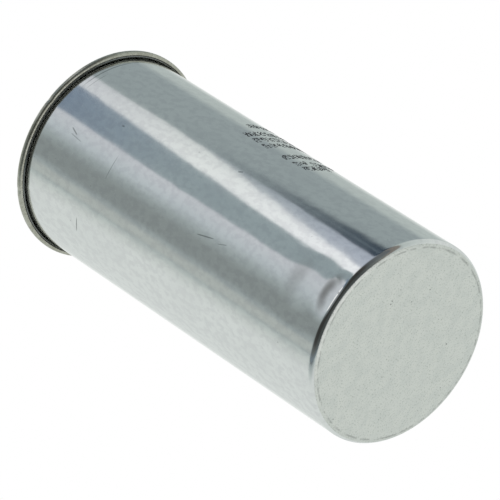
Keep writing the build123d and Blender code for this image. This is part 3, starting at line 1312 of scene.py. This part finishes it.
@dataclass
class ReflectionScreen:
    """A drum round the object that only the metal's reflections see, with upright strips of many tones.

    Attributes:
        radius: The drum's radius.
        bottom: Height of its lower edge.
        top: Height of its upper edge.
        can_radius: Radius of the wall that reflects it.
        rise: Height on the drum that the foot of the wall reflects.
        rise_per_height: How much higher the drum is met for each metre up the wall.
        middle: Height on the wall of the strips' middle setting.
        rim: Height on the wall of the strips' upper setting.
        reflectance: Reflectance of the wall, so that a tone comes out as it is named.
    """

    radius: float = 0.35
    bottom: float = -0.6
    top: float = 0.9
    can_radius: float = 22.225 * MM
    rise: float = 0.295
    rise_per_height: float = 1.484
    middle: float = 58 * MM
    rim: float = 97 * MM
    reflectance: Colour = (0.845, 0.86, 0.855)
    strips: tuple[Strip, ...] = (
        strip(-91.8, -91.8, -91.8, Tone.WHITE),
        strip(-84, -84, -84, Tone.WHITE),
        strip(-78, -78, -78, Tone.PALE),
        strip(-41, -41, -41, Tone.PALE),
        strip(-35, -35, -35, Tone.CLOUD, foot=Tone.MIST),
        strip(-31.5, -31.5, -31.5, Tone.MIST, foot=Tone.STEEL),
        strip(-30.8, -30.8, -30.8, Tone.STEEL, foot=Tone.SOOT),
        strip(-30, -30, -30, Tone.SAGE, foot=Tone.DUSK),
        strip(-26, -26, -26, Tone.SAGE, foot=Tone.IRON),
        strip(-24, -24, -24, Tone.STEEL, foot=Tone.IRON),
        strip(-21, -21, -21, Tone.SHADE, foot=Tone.SOOT),
        strip(-13, -13, -13, Tone.SHADE, foot=Tone.SOOT),
        strip(-8, -8, -8, Tone.STEEL, foot=Tone.SOOT),
        strip(-3, -3, -3, Tone.HAZE, foot=Tone.SOOT),
        strip(4.6, 4.6, 6.4, Tone.LILAC, foot=Tone.SOOT),
        strip(5.3, 5.3, 7.1, Tone.SLATE, Tone.SLATE, Tone.INDIGO, foot=Tone.SOOT),
        strip(15.2, 19.8, 23.6, Tone.SLATE, Tone.SLATE, Tone.INDIGO, foot=Tone.SOOT),
        strip(15.7, 20.3, 24.1, Tone.SNOW, Tone.WHITE, Tone.LILAC, foot=Tone.SOOT),
        strip(21.3, 32.6, 32.2, Tone.SNOW, Tone.PALE, Tone.LILAC, foot=Tone.SOOT),
        strip(22.3, 33.4, 33.0, Tone.BLUE, Tone.GREY, Tone.GREY, foot=Tone.DARK),
        strip(31.0, 33.6, 33.6, Tone.BLUE, Tone.GREY, Tone.GREY, foot=Tone.DARK),
        strip(31.8, 33.8, 33.8, Tone.NAVY, Tone.GREY, Tone.GREY, foot=Tone.DARK),
        strip(35.0, 34.1, 34.1, Tone.NAVY, Tone.GREY, Tone.GREY, foot=Tone.DARK),
        strip(35.6, 34.3, 34.3, Tone.DUSK, Tone.GREY, Tone.GREY, foot=Tone.TAUPE),
        strip(36.2, 34.5, 34.5, Tone.NAVY, Tone.GREY, Tone.GREY, foot=Tone.TAUPE),
        strip(40.2, 34.8, 34.8, Tone.NAVY, Tone.GREY, Tone.GREY, foot=Tone.TAUPE),
        strip(41.2, 35.2, 35.2, Tone.GREY, foot=Tone.MIST),
        strip(61, 61, 61, Tone.GREY),
        strip(66, 66, 66, Tone.MIST),
        strip(76, 76, 76, Tone.MIST),
        strip(82, 82, 82, Tone.PALE),
        strip(86, 86, 86, Tone.WHITE),
        strip(91.8, 91.8, 91.8, Tone.WHITE),
    )

    def rows(self) -> list[float]:
        """Heights of the drum's rows."""
        wall = [0.0, 0.012, 0.025, 0.04, self.middle, 0.075, self.rim]
        below = [self.bottom, -0.3, -0.2, -0.13, -0.07, 0.05, 0.15, 0.22, 0.28]
        above = [0.5, 0.65, self.top]
        return below + [self.rise + self.rise_per_height * height for height in wall] + above

    def at(self, edge: Strip, row: float) -> tuple[float, np.ndarray]:
        """A strip's edge at one row.

        Args:
            edge: The strip's edge.
            row: The row's height.

        Returns:
            The angle round the can and the light there.
        """
        height = (row - self.rise) / self.rise_per_height
        places = (0.0, self.middle, self.rim)
        angle = float(np.interp(height, places, edge.angles))
        light = np.array([paint(*tone.value) for tone in edge.tones])
        light = np.array([np.interp(height, places, light[:, part]) for part in range(3)])
        foot = np.array(paint(*edge.foot.value))
        under = np.maximum(foot, np.array(paint(*Tone.IRON.value)))
        deep = float(np.clip((-0.07 - row) / 0.13, 0, 1))
        low = float(np.clip((0.28 - row) / 0.13, 0, 1))
        foot = foot * (1 - deep) + under * deep
        return angle, (light * (1 - low) + foot * low) / np.array(self.reflectance)

    def build(self) -> bpy.types.Object:
        """Makes the drum.

        Returns:
            The drum.
        """
        rows = self.rows()
        points: list[tuple[float, float, float]] = []
        lights: list[tuple[float, ...]] = []
        columns = 0
        for left, right in zip(self.strips, self.strips[1:]):
            widest = max(b - a for a, b in zip(left.angles, right.angles))
            steps = max(1, math.ceil(widest / 2.0))
            last = right is self.strips[-1]
            for step in range(steps + (1 if last else 0)):
                columns += 1
                for row in rows:
                    (start, first), (end, second) = self.at(left, row), self.at(right, row)
                    share = step / steps
                    angle = math.radians(start + (end - start) * share)
                    meet = 2 * angle - math.asin(self.can_radius / self.radius * math.sin(angle))
                    points.append((self.radius * math.sin(meet), -self.radius * math.cos(meet), row))
                    lights.append((*(first * (1 - share) + second * share), 1.0))
        count = len(rows)
        faces = [
            (c * count + r, (c + 1) * count + r, (c + 1) * count + r + 1, c * count + r + 1)
            for c in range(columns - 1)
            for r in range(count - 1)
        ]
        mesh = bpy.data.meshes.new("reflection_screen")
        mesh.from_pydata(points, [], faces)
        attribute = mesh.color_attributes.new("light", "FLOAT_COLOR", "POINT")
        attribute.data.foreach_set("color", np.array(lights).ravel())
        mesh.materials.append(self.material())
        screen = bpy.data.objects.new("reflection_screen", mesh)
        bpy.context.scene.collection.objects.link(screen)
        screen.visible_camera = False
        screen.visible_diffuse = False
        screen.visible_shadow = False
        screen.visible_transmission = False
        return screen

    @staticmethod
    def material() -> bpy.types.Material:
        """Makes the drum's glow, which takes its colour from the mesh."""
        material = bpy.data.materials.new("screen_glow")
        material.use_nodes = True
        tree = material.node_tree
        tree.nodes.clear()
        colour = tree.nodes.new("ShaderNodeAttribute")
        colour.attribute_name = "light"
        glow = tree.nodes.new("ShaderNodeEmission")
        output = tree.nodes.new("ShaderNodeOutputMaterial")
        tree.links.new(colour.outputs["Color"], glow.inputs["Color"])
        tree.links.new(glow.outputs[0], output.inputs["Surface"])
        material.cycles.emission_sampling = "NONE"
        return material


@dataclass
class Studio:
    """Floor, world, lamp and camera.

    Attributes:
        floor_radius: Radius of the floor.
        floor_height: Height of the floor, just over the base's underside.
        floor_colour: Colour of the floor.
        world_light: Strength of the world's even light.
        lamp_power: Power of the soft lamp, in watts.
        lens: Focal length, for a sensor 36 mm wide.
        aim: Point that the camera looks at.
        distance: Distance from there to the camera.
        elevation: How far the camera looks up.
        azimuth: Direction that it looks in, from +Y.
        roll: Turn about its line of sight, anticlockwise.
    """

    floor_radius: float = 2.0
    floor_height: float = 0.3 * MM
    floor_colour: Colour = (0.86, 0.86, 0.85)
    world_light: float = 0.85
    lamp_power: float = 3.0
    lens: float = 333.4
    aim: tuple[float, float, float] = (-0.00065, 0.0, 0.04805)
    distance: float = 0.95014
    elevation: float = 43.081
    azimuth: float = -0.053
    roll: float = -56.88

    def floor(self) -> bpy.types.Object:
        """Makes the floor: pale, open from below, and fading out with distance.

        Returns:
            The floor.
        """
        work = bmesh.new()
        bmesh.ops.create_circle(
            work,
            cap_ends=True,
            radius=self.floor_radius,
            segments=96,
            matrix=Matrix.Translation((0, 0, self.floor_height)),
        )
        mesh = bpy.data.meshes.new("floor")
        work.to_mesh(mesh)
        work.free()
        material = bpy.data.materials.new("pale_floor")
        material.use_nodes = True
        tree = material.node_tree
        tree.nodes.clear()
        new, link = tree.nodes.new, tree.links.new
        geometry = new("ShaderNodeNewGeometry")
        path = new("ShaderNodeLightPath")
        place = new("ShaderNodeTexCoord")
        length = new("ShaderNodeVectorMath")
        length.operation = "LENGTH"
        far = new("ShaderNodeMapRange")
        far.interpolation_type = "SMOOTHSTEP"
        far.inputs["From Min"].default_value = 0.12
        far.inputs["From Max"].default_value = 0.6
        link(place.outputs["Object"], length.inputs[0])
        link(length.outputs["Value"], far.inputs["Value"])
        behind = new("ShaderNodeMath")
        behind.operation = "MAXIMUM"
        link(geometry.outputs["Backfacing"], behind.inputs[0])
        link(path.outputs["Is Glossy Ray"], behind.inputs[1])
        open_part = new("ShaderNodeMath")
        open_part.operation = "MAXIMUM"
        link(behind.outputs[0], open_part.inputs[0])
        link(far.outputs["Result"], open_part.inputs[1])
        diffuse = new("ShaderNodeBsdfDiffuse")
        clear = new("ShaderNodeBsdfTransparent")
        mix = new("ShaderNodeMixShader")
        diffuse.inputs["Color"].default_value = (*self.floor_colour, 1.0)
        output = new("ShaderNodeOutputMaterial")
        link(open_part.outputs[0], mix.inputs["Fac"])
        link(diffuse.outputs[0], mix.inputs[1])
        link(clear.outputs[0], mix.inputs[2])
        link(mix.outputs[0], output.inputs["Surface"])
        mesh.materials.append(material)
        floor = bpy.data.objects.new("floor", mesh)
        bpy.context.scene.collection.objects.link(floor)
        return floor

    def world(self) -> None:
        """Sets the world: even light, with white behind the object and in clear pieces and metal."""
        world = bpy.data.worlds.new("studio")
        world.use_nodes = True
        tree = world.node_tree
        tree.nodes.clear()
        path = tree.nodes.new("ShaderNodeLightPath")
        seen = path.outputs["Is Camera Ray"]
        for ray in ("Is Glossy Ray", "Is Transmission Ray"):
            either = tree.nodes.new("ShaderNodeMath")
            either.operation = "MAXIMUM"
            tree.links.new(seen, either.inputs[0])
            tree.links.new(path.outputs[ray], either.inputs[1])
            seen = either.outputs[0]
        light = tree.nodes.new("ShaderNodeBackground")
        light.inputs["Strength"].default_value = self.world_light
        white = tree.nodes.new("ShaderNodeBackground")
        white.inputs["Strength"].default_value = 1.0
        for background in (light, white):
            background.inputs["Color"].default_value = (1.0, 1.0, 1.0, 1.0)
        mix = tree.nodes.new("ShaderNodeMixShader")
        output = tree.nodes.new("ShaderNodeOutputWorld")
        tree.links.new(seen, mix.inputs["Fac"])
        tree.links.new(light.outputs[0], mix.inputs[1])
        tree.links.new(white.outputs[0], mix.inputs[2])
        tree.links.new(mix.outputs[0], output.inputs["Surface"])
        bpy.context.scene.world = world

    def lamp(self) -> None:
        """Adds one large soft lamp from above, at the left."""
        data = bpy.data.lights.new("soft_lamp", "AREA")
        data.shape = "DISK"
        data.size = 0.6
        data.energy = self.lamp_power
        lamp = bpy.data.objects.new("soft_lamp", data)
        lamp.location = (-0.5, -0.45, 0.9)
        lamp.rotation_euler = (Vector((0, 0, 0.05)) - lamp.location).to_track_quat("-Z", "Y").to_euler()
        lamp.visible_glossy = False
        bpy.context.scene.collection.objects.link(lamp)

    def camera(self) -> None:
        """Adds the camera and makes it the scene's."""
        data = bpy.data.cameras.new("camera")
        data.lens = self.lens
        data.sensor_width = 36.0
        data.clip_start = 0.01
        camera = bpy.data.objects.new("camera", data)
        level, around = math.radians(self.elevation), math.radians(self.azimuth)
        forward = Vector(
            (math.cos(level) * math.sin(around), math.cos(level) * math.cos(around), math.sin(level))
        )
        turn = forward.to_track_quat("-Z", "Y").to_matrix() @ Matrix.Rotation(math.radians(self.roll), 3, "Z")
        camera.matrix_world = Matrix.Translation(Vector(self.aim) - forward * self.distance) @ turn.to_4x4()
        bpy.context.scene.collection.objects.link(camera)
        bpy.context.scene.camera = camera

    def build(self) -> None:
        """Makes the whole stage."""
        self.floor()
        ReflectionScreen().build()
        self.world()
        self.lamp()
        self.camera()
        bpy.context.scene.view_settings.view_transform = "Standard"


# ---------------------------------------------------------------------------------------------------------
# Assembly
# ---------------------------------------------------------------------------------------------------------


def fit_piece(piece: bpy.types.Object, slot: Slot, *nodes: str) -> None:
    """Hands a finished piece to the frame and reports it.

    Args:
        piece: The piece.
        slot: The record's slot meant for the piece's finish. Not used.
        nodes: CAD nodes that it stands for.
    """
    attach(piece, ROOT)
    if nodes:
        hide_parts(*nodes)
    stands_for = ", ".join(nodes) or "nothing"
    log.info("%s: %d faces, stands for %s", piece.name, len(piece.data.polygons), stands_for)


def dress_nodes(materials: dict[Slot, bpy.types.Material]) -> None:
    """Gives every CAD node that stays its material.

    Args:
        materials: The materials by slot.
    """
    for name, slot in DRESSED_NODES.items():
        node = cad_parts[name]
        node.data.materials.clear()
        node.data.materials.append(materials[slot])
        log.info("%s: dressed in %s", name, materials[slot].name)


def main() -> None:
    """Builds the capacitor's looks in order, then the stage."""
    logging.basicConfig(level=logging.INFO, format="%(name)s: %(message)s")
    materials = {slot: finish.material() for slot, finish in FINISHES.items()}
    turning = turning_tree()
    fit_piece(Can().build(turning), Slot.CAN, "can")
    fit_piece(WallPrint().build(print_tree()), Slot.CAN)
    fit_piece(Lid().build(turning, materials[Slot.LID]), Slot.LID, "lid")
    dress_nodes(materials)
    Studio().build()


if __name__ == "__main__":
    main()
